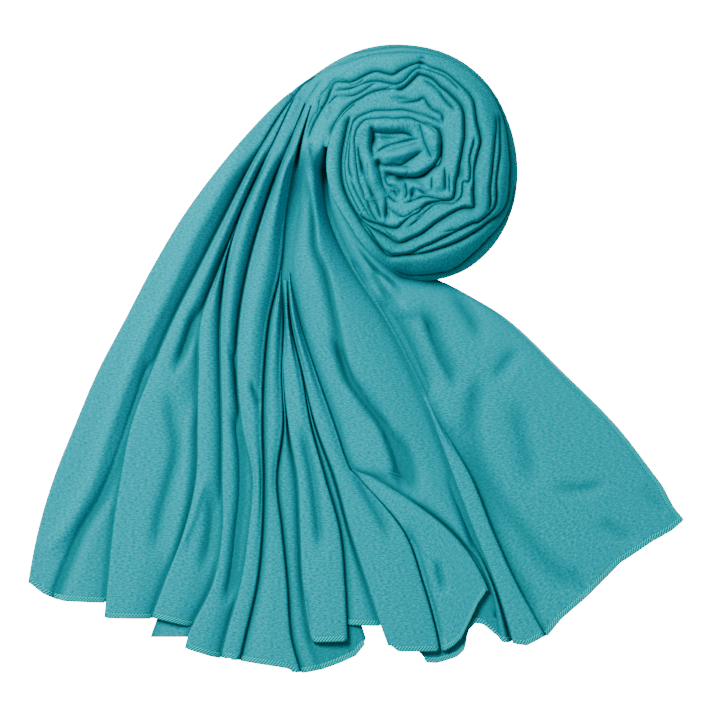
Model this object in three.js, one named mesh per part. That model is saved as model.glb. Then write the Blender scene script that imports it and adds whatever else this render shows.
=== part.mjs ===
// A long jersey headscarf, plain, laid on a table: one end is wound into a flat coil
// and the rest fans out below it in pleats that lie over each other down to the hem.
// Millimetres, +Z up. The table is the plane Z = 0, and the origin lies on it at the
// middle of the scarf's outline. +Y runs from the hems to the coil, and +X is to the
// right of someone who looks down on the scarf from above the hems.
import * as THREE from "three";

// Driving dimensions of the cloth and its layers
const CLOTH = 1.2;                       // wall of one layer
const LAYER_GAP = 0.4;                   // air between layers that lie on each other
const LAYER = CLOTH + LAYER_GAP;         // rise from one layer to the next
const SIDE_GAP = 0.3;                    // air between turns that lie side by side in the coil
const PLEAT_GAP = 0.8;                   // air between pleats that lie side by side in the fan
const FOLD_RADIUS = 1.8;                 // a soft fold, at the middle of the wall
const LEAST_RADIUS = 0.75;               // the same where a pleat is narrow
const FOLD_RETURN = 6;                   // cloth that comes back under a fold
const LAP = 7;                           // cloth that runs on under the next stretch
const CROWN_FADE = 2.2;                  // how soon a pleat flattens below the coil

// Driving dimensions of the coil
const COIL = { x: 41, y: 149, height: 47, domePower: 5, foot: 6 };

// How finely the pieces are cut into sections
const STRETCH_SECTIONS = 13;             // along most stretches of the fan
const INNER_POINTS = 6;                  // points across a stretch between its edges
const COIL_STEP = 15;                    // degrees between sections of the coil

// Fold lines of the fan. A row is a section straight across the scarf at height y, and a
// column is the x at which that section meets a fold line. Lines start where they open.
// cu and cv bound the layer that peeks out under stretch c, and ku is the hidden edge of
// stretch k under its neighbours.
const FOLDS = [
  { y: 230, edge: -5, ab: -2 },
  { y: 210, edge: -40, ab: -34 },
  { y: 190, edge: -64, ab: -55, bc: -51, cd: -51, dd: -40, de: -33 },
  { y: 150, edge: -101, ab: -79, bc: -70, cd: -70, dd: -57, de: -46, kk: -38, ku: -48,
    km: -29, mn: -28, side: -24 },
  { y: 132, side: -22.5 },
  { y: 110, edge: -131, ab: -99, bc: -88, cd: -88, dd: -71, de: -53, kk: -45, ku: -57,
    km: -21, mn: -19, side: -13 },
  { y: 86, side: 1 },
  { y: 70, edge: -155, ab: -119, bc: -104, cd: -99, dd: -82, de: -57, ef: -57, fg: -57,
    gh: -52, hi: -52, il: -51, kk: -50, ku: -61, km: -4, mn: -1, side: 17 },
  { y: 52, side: 76 },
  { y: 30, edge: -176, ab: -139, bc: -118, cd: -103, dd: -89, de: -66, ef: -55, fg: -55,
    gh: -50, hi: -50, il: -43, kk: -43, ku: -57, km: 22, mn: 25, side: 115 },
  { y: -10, edge: -197, ab: -156, bc: -120, cd: -103, dd: -91, de: -70, ef: -56, fg: -56,
    gh: -41, hi: -41, il: -30, kk: -30, ku: -50, km: 42, mn: 46, side: 157 },
  { y: -50, edge: -214, ab: -171, bc: -121, cd: -102, dd: -87, de: -71, ef: -55, fg: -52,
    gh: -34, hi: -31, il: -16, kk: -14.5, ku: -34, km: 59, mn: 65, side: 197 },
  { y: -90, edge: -230, ab: -179, bc: -122, cd: -102, dd: -79, de: -70, ef: -60, fg: -45,
    gh: -23, hi: -16, il: 2, kk: 14, ku: -5, km: 74, mn: 88, side: 228 },
  { y: -130, edge: -242, ab: -185, bc: -131, cu: -126, cv: -111, cd: -102, dd: -82,
    de: -71, ef: -56, fg: -43, gh: -12, hi: -5, il: 36, kk: 71, ku: 28, km: 89, mn: 104,
    side: 252 },
  { y: -170, edge: -249.6, ab: -189, bc: -146, cu: -141, cv: -120, cd: -109, dd: -88,
    de: -75, ef: -52, fg: -41, gh: -8, hi: 8, il: 51, kk: 99, ku: 44, km: 105, mn: 122,
    side: 278 },
  { y: -210, edge: -254, ab: -193, bc: -160, cu: -155, cv: -138, cd: -128, dd: -99,
    de: -84, ef: -49, fg: -35, gh: -6, hi: 21, il: 62, kk: 108, ku: 56, km: 117, mn: 144,
    side: 301 },
  { y: -240, edge: -256, ab: -195, bc: -166, cu: -161, cv: -144, cd: -134, dd: -106,
    de: -91, ef: -41, fg: -24, gh: -5, hi: 33, il: 67, kk: 112, ku: 61, km: 124, mn: 160,
    side: 318 },
];

// Edges of a stretch. A fold turns back under itself at the level of the layer it lies on,
// a lap runs on under the next stretch, and a hem is the cut edge of the cloth.
const fold = (level) => ({ kind: "fold", level });
const lap = (reach, share = 0.45, most = LAP, level = 0) => ({ kind: "lap", reach, share, most, level });
const hem = { kind: "lap", reach: null, share: 0, most: 0, level: 0 };

// The stretches of the fan that show, from left to right. top and hem are the heights of
// their upper and lower ends at the left and right line, crest is where the pleat is
// highest across its width, crown its height at the top and at the hem, and trough a soft
// hollow: its place across, its depth at the top and at the hem.
const STRETCHES = [
  { name: "stretch_a_left_panel", from: "edge", to: "ab", left: fold(0), right: lap("bc"),
    top: [200.5, 198], hem: [-171, -184], crest: 0.6, crown: [13, 4], trough: [0.86, 0, 1.2],
    sections: 18 },
  { name: "stretch_b", from: "ab", to: "bc", left: fold(1), right: lap("cd", 0.45, 4),
    top: [184, 184], hem: [-196, -197], crest: 0.4, crown: [15, 5], trough: [0.78, 1, 1.5],
    sections: 18 },
  { name: "stretch_c", from: "bc", to: "cd", left: fold(1), right: lap("dd"),
    top: [80, 80], hem: [-198, -202], crest: 0.35, crown: [11, 5], trough: [0.7, 0, 0] },
  { name: "stretch_c_under", from: "cu", to: "cv", left: hem, right: hem, flat: true,
    top: [-150, -150], hem: [-211, -211], crest: 0.5, crown: [0.6, 0.6], trough: [0.5, 0, 0],
    sections: 5 },
  { name: "stretch_d_left", from: "cd", to: "dd", left: fold(1), right: lap("de"),
    top: [196, 191.5], hem: [-220, -225], crest: 0.35, crown: [20, 5.5], trough: [0.8, 0, 1] },
  { name: "stretch_d_right", from: "dd", to: "de", left: fold(1), right: fold(1),
    top: [190, 187], hem: [-226, -229], crest: 0.5, crown: [25, 6], trough: [0.5, 0, 0] },
  { name: "stretch_e", from: "de", to: "ef", left: lap("dd"), right: fold(1),
    top: [49, 49], hem: [-229, -237], crest: 0.6, crown: [14, 5], trough: [0.3, 0, 0] },
  { name: "stretch_f", from: "ef", to: "fg", left: lap("de"), right: lap("hi", 0.75, 60),
    top: [-46, -46], hem: [-238, -236], crest: 0.4, crown: [7, 3.5], trough: [0.3, 0, 0],
    hemLap: [-238, -212] },
  { name: "stretch_g", from: "fg", to: "gh", left: fold(1), right: fold(2),
    top: [8, 8], hem: [-214, -214], crest: 0.75, crown: [13, 6.5], trough: [0.4, 1, 1] },
  { name: "stretch_h", from: "gh", to: "hi", left: lap("fg", 0.4, LAP, 1),
    right: lap("il", 0.4, LAP, 1),
    top: [-62, -62], hem: [-201, -203], crest: 0.5, crown: [8, 5], trough: [0.5, 0, 0] },
  { name: "stretch_i", from: "hi", to: "il", left: fold(2), right: fold(1),
    top: [30, 30], hem: [-217, -221], crest: 0.4, crown: [15, 6], trough: [0.75, 0, 1],
    sections: 17 },
  { name: "stretch_j_flap", from: "il", to: "kk", left: fold(1), right: fold(1),
    top: [-98, -98], hem: [-221, -176], crest: 0.55, crown: [8, 6], trough: [0.3, 0, 0] },
  { name: "stretch_k", from: "kk", to: "km", left: lap("ku", 1, 90), right: lap("mn", 0.9),
    top: [163, 163], hem: [-202, -214], crest: 0.45, crown: [31, 5], trough: [0.75, 2, 0],
    hemLap: [-226, -214], sections: 20 },
  { name: "stretch_m_ridge", from: "km", to: "mn", left: fold(2), right: fold(2),
    top: [-66, -66], hem: [-214, -213], crest: 0.5, crown: [8, 6], trough: [0.5, 0, 0] },
  { name: "stretch_n_right_panel", from: "mn", to: "side", left: lap("km", 0.5, LAP, 1), right: hem,
    top: [128, 51], hem: [-213, -126], crest: 0.3, crown: [14, 3], trough: [0.15, 4, 0.5],
    sections: 17 },
];

// Heights of the soft valleys and ridges that cross the wide panels, one row each: the
// stretch, its place across at the top and at the hem, its height and its half width there
const CREASES = [
  { on: "stretch_n_right_panel", across: [0.55, 0.4], rise: -2.5, spread: 0.1 },
  { on: "stretch_n_right_panel", across: [0.75, 0.68], rise: 1.6, spread: 0.1 },
  { on: "stretch_k", across: [0.2, 0.3], rise: 1.5, spread: 0.1 },
  { on: "stretch_a_left_panel", across: [0.3, 0.35], rise: 0.8, spread: 0.12 },
];

// Turn lines of the coil. A row is a section at an angle in degrees, clockwise from the
// left as seen from above, and a column is the radius of a turn line. After 360 degrees
// the rim line goes on inside itself, as the cloth does.
const TURNS = [
  { at: 8, rim_in: 79, wide_in: 72.5, third_in: 64.5, heart: 42 },
  { at: 32, rim: 104, rim_in: 81.5, wide_in: 76, third_in: 62.5, heart: 45 },
  { at: 45, rim: 93.5, rim_in: 82, wide_in: 74.5, third_in: 61, heart: 43 },
  { at: 67.5, rim: 93, rim_in: 82.5, wide_in: 71, third_in: 57, heart: 33.5 },
  { at: 90, rim: 89, rim_in: 81, wide_in: 70.5, third_in: 59, heart: 31 },
  { at: 112.5, rim: 86.5, rim_in: 79, wide_in: 70, third_in: 59, heart: 29 },
  { at: 135, rim: 83.5, rim_in: 77, wide_in: 64.5, third_in: 54.5, heart: 30 },
  { at: 157.5, rim: 80.5, rim_in: 71, wide_in: 55, third_in: 43.5, heart: 24 },
  { at: 180, rim: 81, rim_in: 64, wide_in: 48.5, third_in: 37, heart: 23 },
  { at: 202.5, rim: 84.5, rim_in: 68, wide_in: 51, third_in: 37.5, heart: 16.5 },
  { at: 225, rim: 89, rim_in: 67.5, wide_in: 52.5, third_in: 41, heart: 15 },
  { at: 247.5, rim: 91.5, rim_in: 66, wide_in: 50.5, third_in: 35.5, heart: 13.5 },
  { at: 270, rim: 88, rim_in: 69.5, wide_in: 58, third_in: 42, heart: 12 },
  { at: 292.5, rim: 76, rim_in: 66, wide_in: 58.5, third_in: 48, heart: 20 },
  { at: 315, rim: 66, rim_in: 57.5, wide_in: 57, third_in: 55, heart: 44 },
  { at: 337.5, rim: 64, rim_in: 53.5, heart: 42 },
  { at: 360, rim: 63, rim_in: 50.5, heart: 41 },
  { at: 382.5, rim: 62, rim_in: 51.5, heart: 45 },
  { at: 400, rim: 59.5, rim_in: 56, heart: 44 },
];

// Stretches of the coil that show: their turn lines, the angles they run between, the
// places of their ridges across, and the depth of the creases between those ridges
const COIL_STRETCHES = [
  { name: "coil_rim", outer: "rim", inner: "rim_in", start: 30, end: 390, creases: [0.45, 0.75],
    depth: 3, outside: true },
  { name: "coil_wide_band", outer: "rim_in", inner: "wide_in", start: 15, end: 300,
    creases: [0.72], depth: 2.5, outside: false },
  { name: "coil_third_band", outer: "wide_in", inner: "third_in", start: 15, end: 300,
    creases: [0.5], depth: 3.5, outside: false },
];

// A smooth value between the rows of a table that hold the column, straight beyond them
function readTable(rows, key, column, at) {
  const known = rows.filter((row) => row[column] !== undefined);
  const ascending = known[0][key] < known[known.length - 1][key];
  const list = ascending ? known : known.slice().reverse();
  let i = 0;
  while (i < list.length - 2 && at > list[i + 1][key]) i += 1;
  const [a, b] = [list[i], list[i + 1]];
  const slope = (p, q) => (q[column] - p[column]) / (q[key] - p[key]);
  const span = b[key] - a[key];
  const t = (at - a[key]) / span;
  if (t < 0 || t > 1) return a[column] + slope(a, b) * (at - a[key]);
  const before = i > 0 ? slope(list[i - 1], b) : slope(a, b);
  const after = i < list.length - 2 ? slope(a, list[i + 2]) : slope(a, b);
  const [t2, t3] = [t * t, t * t * t];
  return (2 * t3 - 3 * t2 + 1) * a[column] + (t3 - 2 * t2 + t) * span * before
    + (3 * t2 - 2 * t3) * b[column] + (t3 - t2) * span * after;
}

const foldLine = (column, y) => readTable(FOLDS, "y", column, y);
const turnLine = (column, angle) => readTable(TURNS, "at", column, angle);
const mix = THREE.MathUtils.lerp;
const bump = (offset, spread) => Math.exp(-((offset / spread) ** 2));

// A closed body through closed sections of equal point counts. It closes on itself, or its
// ends are capped: across the wall of a stretch, or round the two tips that are given.
function loftBody(sections, ring, tips = []) {
  const count = sections[0].length;
  const corners = [...sections.flat(), ...tips];
  const positions = corners.flatMap((p) => [p.x, p.y, p.z]);
  const faces = [];
  const lastSection = ring ? sections.length : sections.length - 1;
  for (let s = 0; s < lastSection; s += 1) {
    const here = s * count;
    const next = ((s + 1) % sections.length) * count;
    for (let i = 0; i < count; i += 1) {
      const j = (i + 1) % count;
      faces.push(here + i, here + j, next + j, here + i, next + j, next + i);
    }
  }
  const tail = (sections.length - 1) * count;
  if (tips.length > 0) {
    const [first, last] = [tail + count, tail + count + 1];
    for (let i = 0; i < count; i += 1) {
      const j = (i + 1) % count;
      faces.push(first, j, i, tail + i, tail + j, last);
    }
  } else if (!ring) {
    const half = count / 2;
    for (let i = 0; i < half - 1; i += 1) {
      const [a, b, c, d] = [i, i + 1, count - 2 - i, count - 1 - i];
      faces.push(a, c, b, a, d, c);
      faces.push(tail + a, tail + b, tail + c, tail + a, tail + c, tail + d);
    }
  }
  const geometry = new THREE.BufferGeometry();
  geometry.setAttribute("position", new THREE.Float32BufferAttribute(positions, 3));
  geometry.setIndex(signedVolume(positions, faces) < 0 ? faces.reverse() : faces);
  geometry.computeVertexNormals();
  return geometry;
}

function signedVolume(positions, faces) {
  const corner = (i) => new THREE.Vector3().fromArray(positions, 3 * i);
  let sum = 0;
  for (let i = 0; i < faces.length; i += 3) {
    sum += corner(faces[i]).dot(corner(faces[i + 1]).cross(corner(faces[i + 2])));
  }
  return sum / 6;
}

// The middle line of a stretch's wall at height y, as places across and heights
function stretchPath(stretch, y) {
  const start = foldLine(stretch.from, y) + PLEAT_GAP / 2;
  const finish = foldLine(stretch.to, y) - PLEAT_GAP / 2;
  const width = finish - start;
  const radius = Math.max(LEAST_RADIUS, Math.min(FOLD_RADIUS, width * 0.13));
  const turnBack = Math.min(FOLD_RETURN, width * 0.36);
  const progress = THREE.MathUtils.clamp((y - stretch.hem[0]) / (stretch.top[0] - stretch.hem[0]), 0, 1);
  const fade = progress ** CROWN_FADE;

  const edgePoints = (edge, line, inward) => {
    const bed = edge.level * LAYER + CLOTH / 2;
    const foot = line + inward * CLOTH * Math.SQRT1_2;
    if (edge.kind === "fold") {
      return [
        [foot + inward * turnBack, bed],
        [foot + inward * radius, bed],
        [foot, bed + radius],
        [foot + inward * radius, bed + 2 * radius],
      ];
    }
    const room = edge.reach === null ? 0 : Math.max(0, (line - foldLine(edge.reach, y)) * inward);
    const length = Math.min(edge.most, room * edge.share);
    return [[line - inward * length, bed], [line + inward * 0.6, bed]];
  };
  const left = edgePoints(stretch.left, start, 1);
  const right = edgePoints(stretch.right, finish, -1);
  const [x0, z0] = left[left.length - 1];
  const [x1, z1] = right[right.length - 1];
  const lift = stretch.flat ? 0 : 0.4;
  const crown = Math.max(mix(stretch.crown[1], stretch.crown[0], fade), z0 + lift, z1 + lift);
  const crest = stretch.crest;
  const [troughAt, troughTop, troughHem] = stretch.trough;
  const inner = [];
  for (let i = 1; i <= INNER_POINTS; i += 1) {
    const across = i / (INNER_POINTS + 1);
    const near = across < crest ? 1 - across / crest : (across - crest) / (1 - crest);
    const edgeHeight = across < crest ? z0 : z1;
    let height = crown - (crown - edgeHeight) * near ** 2;
    height -= mix(troughHem, troughTop, progress) * bump(across - troughAt, 0.12);
    for (const crease of CREASES.filter((row) => row.on === stretch.name)) {
      const place = mix(crease.across[1], crease.across[0], progress);
      height += crease.rise * bump(across - place, crease.spread);
    }
    inner.push([mix(x0, x1, across), Math.max(height, Math.min(z0, z1) + lift)]);
  }
  return [...left, ...inner, ...right.reverse()];
}

// Wall points on both sides of the path's middle line, square to it
function wallPoint(path, i) {
  const here = new THREE.Vector2(...path[i]);
  const into = i > 0 ? here.clone().sub(new THREE.Vector2(...path[i - 1])).normalize() : null;
  const out = i < path.length - 1
    ? new THREE.Vector2(...path[i + 1]).sub(here).normalize() : into;
  const along = (into ?? out).clone().add(out).normalize();
  const normal = new THREE.Vector2(-along.y, along.x);
  const straight = Math.max(0.6, Math.abs(along.dot(out)));
  return { here, offset: normal.multiplyScalar(CLOTH / 2 / straight) };
}

function stretchGeometry(stretch) {
  const pointCount = stretchPath(stretch, stretch.hem[0]).length;
  const leftCount = stretch.left.kind === "fold" ? 4 : 2;
  const rightCount = stretch.right.kind === "fold" ? 4 : 2;
  const across = (i) => THREE.MathUtils.clamp(
    (i - leftCount + 1) / (pointCount - leftCount - rightCount + 1), 0, 1);
  const sections = [];
  const sectionCount = stretch.sections ?? STRETCH_SECTIONS;
  for (let s = 0; s < sectionCount; s += 1) {
    const down = s / (sectionCount - 1);
    const over = [];
    const under = [];
    for (let i = 0; i < pointCount; i += 1) {
      const top = mix(stretch.top[0], stretch.top[1], across(i));
      let bottom = mix(stretch.hem[0], stretch.hem[1], across(i));
      if (stretch.hemLap && i === 0 && stretch.left.kind === "lap") bottom = stretch.hemLap[0];
      if (stretch.hemLap && i === pointCount - 1) bottom = stretch.hemLap[1];
      const y = mix(top, bottom, down);
      const { here, offset } = wallPoint(stretchPath(stretch, y), i);
      over.push(new THREE.Vector3(here.x + offset.x, y, here.y + offset.y));
      under.push(new THREE.Vector3(here.x - offset.x, y, here.y - offset.y));
    }
    sections.push([...over, ...under.reverse()]);
  }
  return loftBody(sections, false);
}

// Height of the coil's top before its creases: flat in the middle, round at the rim
function domeHeight(radius, angle) {
  const rim = angle <= 300 ? turnLine("rim", Math.max(angle, 45)) : 92;
  return COIL.height * (1 - (Math.min(radius, rim) / (rim + 2)) ** COIL.domePower);
}

const coilPoint = (radius, angle, z) => {
  const turn = THREE.MathUtils.degToRad(angle);
  return new THREE.Vector3(COIL.x - radius * Math.cos(turn), COIL.y + radius * Math.sin(turn), z);
};

// One section of a coil stretch: up its inner side, over its ridges, down its outer side
function coilSection(stretch, angle, lines) {
  const inner = lines.inner(angle) + SIDE_GAP / 2;
  const outer = lines.outer(angle) - SIDE_GAP / 2;
  const width = outer - inner;
  const shoulder = Math.min(4, width * 0.25);
  const drop = 5;
  const rimSide = stretch.outside && angle < 300;
  const ridge = (share) => {
    const radius = mix(inner, outer, share);
    const edge = Math.min(share * width, (1 - share) * width);
    const fall = edge < shoulder ? drop * (1 - edge / shoulder) ** 2 : 0;
    const creases = stretch.creases.reduce(
      (sum, place) => sum + stretch.depth * bump(share - place, 0.09), 0);
    return coilPoint(radius, angle, Math.max(3, domeHeight(radius, angle) - fall - creases));
  };
  const top = [0, 0.12, 0.28, 0.45, 0.6, 0.75, 0.88].map(ridge);
  const sole = rimSide ? outer - COIL.foot : outer;
  const side = rimSide
    ? [coilPoint(outer, angle, 7), coilPoint(outer - 1.5, angle, 2.5)]
    : [coilPoint(outer, angle, domeHeight(outer, angle) - drop), coilPoint(outer, angle, 12)];
  return [
    coilPoint(inner, angle, 0),
    ...top,
    ...side,
    coilPoint(sole, angle, 0),
    ...[0.75, 0.5, 0.3, 0.12].map((share) => coilPoint(mix(inner, sole, share), angle, 0)),
  ];
}

function coilStretchGeometry(stretch) {
  const lines = {
    inner: (angle) => turnLine(stretch.inner, angle),
    outer: (angle) => turnLine(stretch.outer, angle),
  };
  const steps = Math.round((stretch.end - stretch.start) / COIL_STEP);
  const sections = [];
  for (let s = 0; s <= steps; s += 1) {
    sections.push(coilSection(stretch, mix(stretch.start, stretch.end, s / steps), lines));
  }
  return loftBody(sections, false);
}

// The inner turn goes all round, between the heart and the turns outside it
function innerTurnGeometry() {
  const outside = (angle) => {
    if (angle >= 45 && angle <= 300) return turnLine("third_in", angle);
    return turnLine("rim_in", angle < 45 ? angle + 360 : angle);
  };
  const lines = {
    inner: (angle) => turnLine("heart", angle < 8 ? angle + 360 : angle),
    outer: (angle) => outside(angle),
  };
  const stretch = { creases: [0.4, 0.7], depth: 3, outside: false };
  const steps = Math.round(360 / COIL_STEP);
  const sections = [];
  for (let s = 0; s < steps; s += 1) sections.push(coilSection(stretch, (360 * s) / steps, lines));
  return loftBody(sections, true);
}

// The heart of the coil: the last, inmost end of the cloth, a soft lip round a hollow.
// A row is a loop at a share of the heart's reach, its height below the coil's top and
// how far the hollow lowers it.
const HEART_LOOPS = [
  { share: 1, below: COIL.height, hollow: 0 },
  { share: 1, below: 8, hollow: 0 },
  { share: 0.9, below: 3, hollow: 1 },
  { share: 0.75, below: 1, hollow: 5 },
  { share: 0.5, below: 2, hollow: 10 },
  { share: 0.25, below: 3, hollow: 5 },
];
const HEART_HOLLOW = { angle: 20, spread: 60 };

function heartGeometry() {
  const steps = Math.round(360 / COIL_STEP);
  const loops = HEART_LOOPS.map((loop) => Array.from({ length: steps }, (_, s) => {
    const angle = s * COIL_STEP;
    const reach = turnLine("heart", angle < 8 ? angle + 360 : angle) - SIDE_GAP / 2;
    const away = ((angle - HEART_HOLLOW.angle + 540) % 360) - 180;
    const sink = loop.hollow * bump(away, HEART_HOLLOW.spread);
    return coilPoint(reach * loop.share, angle, COIL.height - loop.below - sink);
  }));
  return loftBody(loops, false, [coilPoint(0, 0, 0), coilPoint(0, 0, COIL.height - 3)]);
}

const jersey = () => new THREE.MeshStandardMaterial({ color: 0x2fb3b8, roughness: 0.9, metalness: 0 });

function piece(name, geometry) {
  const mesh = new THREE.Mesh(geometry, jersey());
  mesh.name = name;
  return mesh;
}

const group = new THREE.Group();
for (const stretch of STRETCHES) group.add(piece(stretch.name, stretchGeometry(stretch)));
for (const stretch of COIL_STRETCHES) group.add(piece(stretch.name, coilStretchGeometry(stretch)));
group.add(piece("coil_inner_turn", innerTurnGeometry()));
group.add(piece("coil_heart", heartGeometry()));

export default group;
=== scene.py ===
import math

import bmesh
import bpy
import numpy as np
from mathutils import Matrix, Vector


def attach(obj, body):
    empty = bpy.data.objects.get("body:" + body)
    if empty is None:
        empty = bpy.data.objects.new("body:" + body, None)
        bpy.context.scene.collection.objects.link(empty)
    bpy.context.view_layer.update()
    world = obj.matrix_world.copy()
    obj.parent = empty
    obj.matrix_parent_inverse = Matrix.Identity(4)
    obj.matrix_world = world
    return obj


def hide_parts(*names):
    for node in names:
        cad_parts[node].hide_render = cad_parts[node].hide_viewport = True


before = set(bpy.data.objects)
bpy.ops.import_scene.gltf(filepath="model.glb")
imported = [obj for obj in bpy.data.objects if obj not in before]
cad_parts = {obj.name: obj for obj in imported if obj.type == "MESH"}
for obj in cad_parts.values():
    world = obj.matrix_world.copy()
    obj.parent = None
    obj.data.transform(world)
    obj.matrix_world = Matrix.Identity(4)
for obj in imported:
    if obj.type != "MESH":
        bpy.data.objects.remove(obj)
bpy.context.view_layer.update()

# Millimetres in the tables, metres in the scene
MM = 0.001

# The photo: its size, the millimetres a pixel covers on the table, the pixel over the origin
PHOTO_SIZE = 712
PIXEL = 0.76
ORIGIN_PIXEL = (356, 359)
COIL_PIXEL = (410, 163)

# The jersey: its thickness, the thickness drawn, the rise of one layer on another
CLOTH = 1.2
SHELL = 0.9
LAYER = 1.6

# Pleats: the gap between two, the radius and the turned-under width of a fold, a lap, a least width
PLEAT_GAP = 0.5
FOLD_RADIUS = 1.9
FOLD_RETURN = 6
LAP = 7
LEAST_PLEAT = 0.4

# How fast a pleat's crown sinks towards the hem
CROWN_FADE = 2.2

# The coil: its middle, height, how square its side is, how far its foot draws in, its first angle
COIL = {"x": 41, "y": 149, "height": 47, "power": 8, "foot": 6}
COIL_START = 30

# The overlocked edge: its width and thickness, its stitches' pitch, slant and rise
OVERLOCK = {"width": 4.6, "thick": 1.15, "pitch": 2.3, "slant": 0.9, "rise": 0.3}

# Its section: the share of a full turn it goes round, how far it laps the edge, how square it is
OVERLOCK_TURN = 0.86
OVERLOCK_LAP = 0.6
OVERLOCK_SQUARE = 0.5
OVERLOCK_LOWEST = 0.1

# Fold lines of the fan: x where a section straight across at height y meets each line
FOLDS = [
    dict(y=230, edge=-5, ab=-2),
    dict(y=210, edge=-40, ab=-34),
    dict(y=205, kk=-29, km=-14, mn=-12),
    dict(y=190, edge=-65, ab=-55, bc=-51, cd=-51, dd=-40, de=-33),
    dict(y=170, kk=-38.5, km=-22),
    dict(y=150, edge=-101, ab=-79, bc=-70, cd=-70, dd=-57, de=-46, kk=-41, ku=-50, km=-24.5,
         mn=-23.5, side=-12),
    dict(y=132, side=-8),
    dict(y=110, edge=-131, ab=-99, bc=-88, cd=-88, dd=-71, de=-53, kk=-45, ku=-59, km=-21,
         mn=-19, side=5),
    dict(y=86, side=22),
    dict(y=70, edge=-155, ab=-119, bc=-104, cd=-99, dd=-82, de=-57, ef=-57, fg=-57, gh=-52,
         hi=-52, il=-51, kk=-50, ku=-64, km=-4, mn=-1, side=44),
    dict(y=52, side=79),
    dict(y=30, edge=-176, ab=-139, bc=-118, cd=-103, dd=-89, de=-66, ef=-55, fg=-55, gh=-50,
         hi=-50, il=-43, kk=-43, ku=-60, km=22, mn=25, side=115),
    dict(y=-10, edge=-197, ab=-156, bc=-120, cd=-103, dd=-91, de=-70, ef=-56, fg=-56, gh=-41,
         hi=-41, il=-30, kk=-30, ku=-50, km=42, mn=46, side=157),
    dict(y=-50, edge=-214, ab=-171, bc=-121, cd=-102, dd=-87, de=-71, ef=-55, fg=-52, gh=-34,
         hi=-31, il=-16, kk=-14.5, ku=-34, km=59, mn=65, side=197),
    dict(y=-83, il=-4.5, kk=-3.5),
    dict(y=-90, edge=-230, ab=-179, bc=-122, cd=-102, dd=-79, de=-70, ef=-60, fg=-45, gh=-23,
         hi=-16, il=2, kk=14, ku=-5, km=74, mn=88, side=228),
    dict(y=-97, side=233),
    dict(y=-112, side=241),
    dict(y=-121, side=248),
    dict(y=-130, edge=-242, ab=-185, bc=-131, cu=-126, cv=-105, cd=-102, dd=-82, de=-71,
         ef=-56, fg=-43, gh=-12, hi=-5, il=36, kk=71, ku=28, km=89, mn=104, side=253),
    dict(y=-170, edge=-249.6, ab=-189, bc=-146, cu=-141, cv=-112, cd=-109, dd=-88, de=-75,
         ef=-52, fg=-41, gh=-8, hi=8, il=51, kk=99, ku=44, km=105, mn=122, side=278),
    dict(y=-210, edge=-254, ab=-193, bc=-160, cu=-156, cv=-126, cd=-128, dd=-99, de=-84,
         ef=-49, fg=-35, gh=-6, hi=21, il=62, kk=108, ku=47, km=117, mn=144, side=301),
    dict(y=-240, edge=-256, ab=-195, bc=-166, cu=-164, cv=-130, cd=-134, dd=-106, de=-91,
         ef=-41, fg=-24, gh=-5, hi=33, il=67, kk=112, ku=49, km=124, mn=160, side=318),
]


def fold(level):
    """A side that turns under in a fold, on so many layers."""
    return dict(kind="fold", level=level)


def lap(reach, share=0.45, most=LAP, level=0, least=3):
    """A side that runs on flat under its neighbour, towards the line reach."""
    return dict(kind="lap", reach=reach, share=share, most=most, level=level, least=least)


# A side that ends in the cut edge
CUT = dict(kind="lap", reach=None, share=0, most=0, level=0, least=0)

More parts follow.
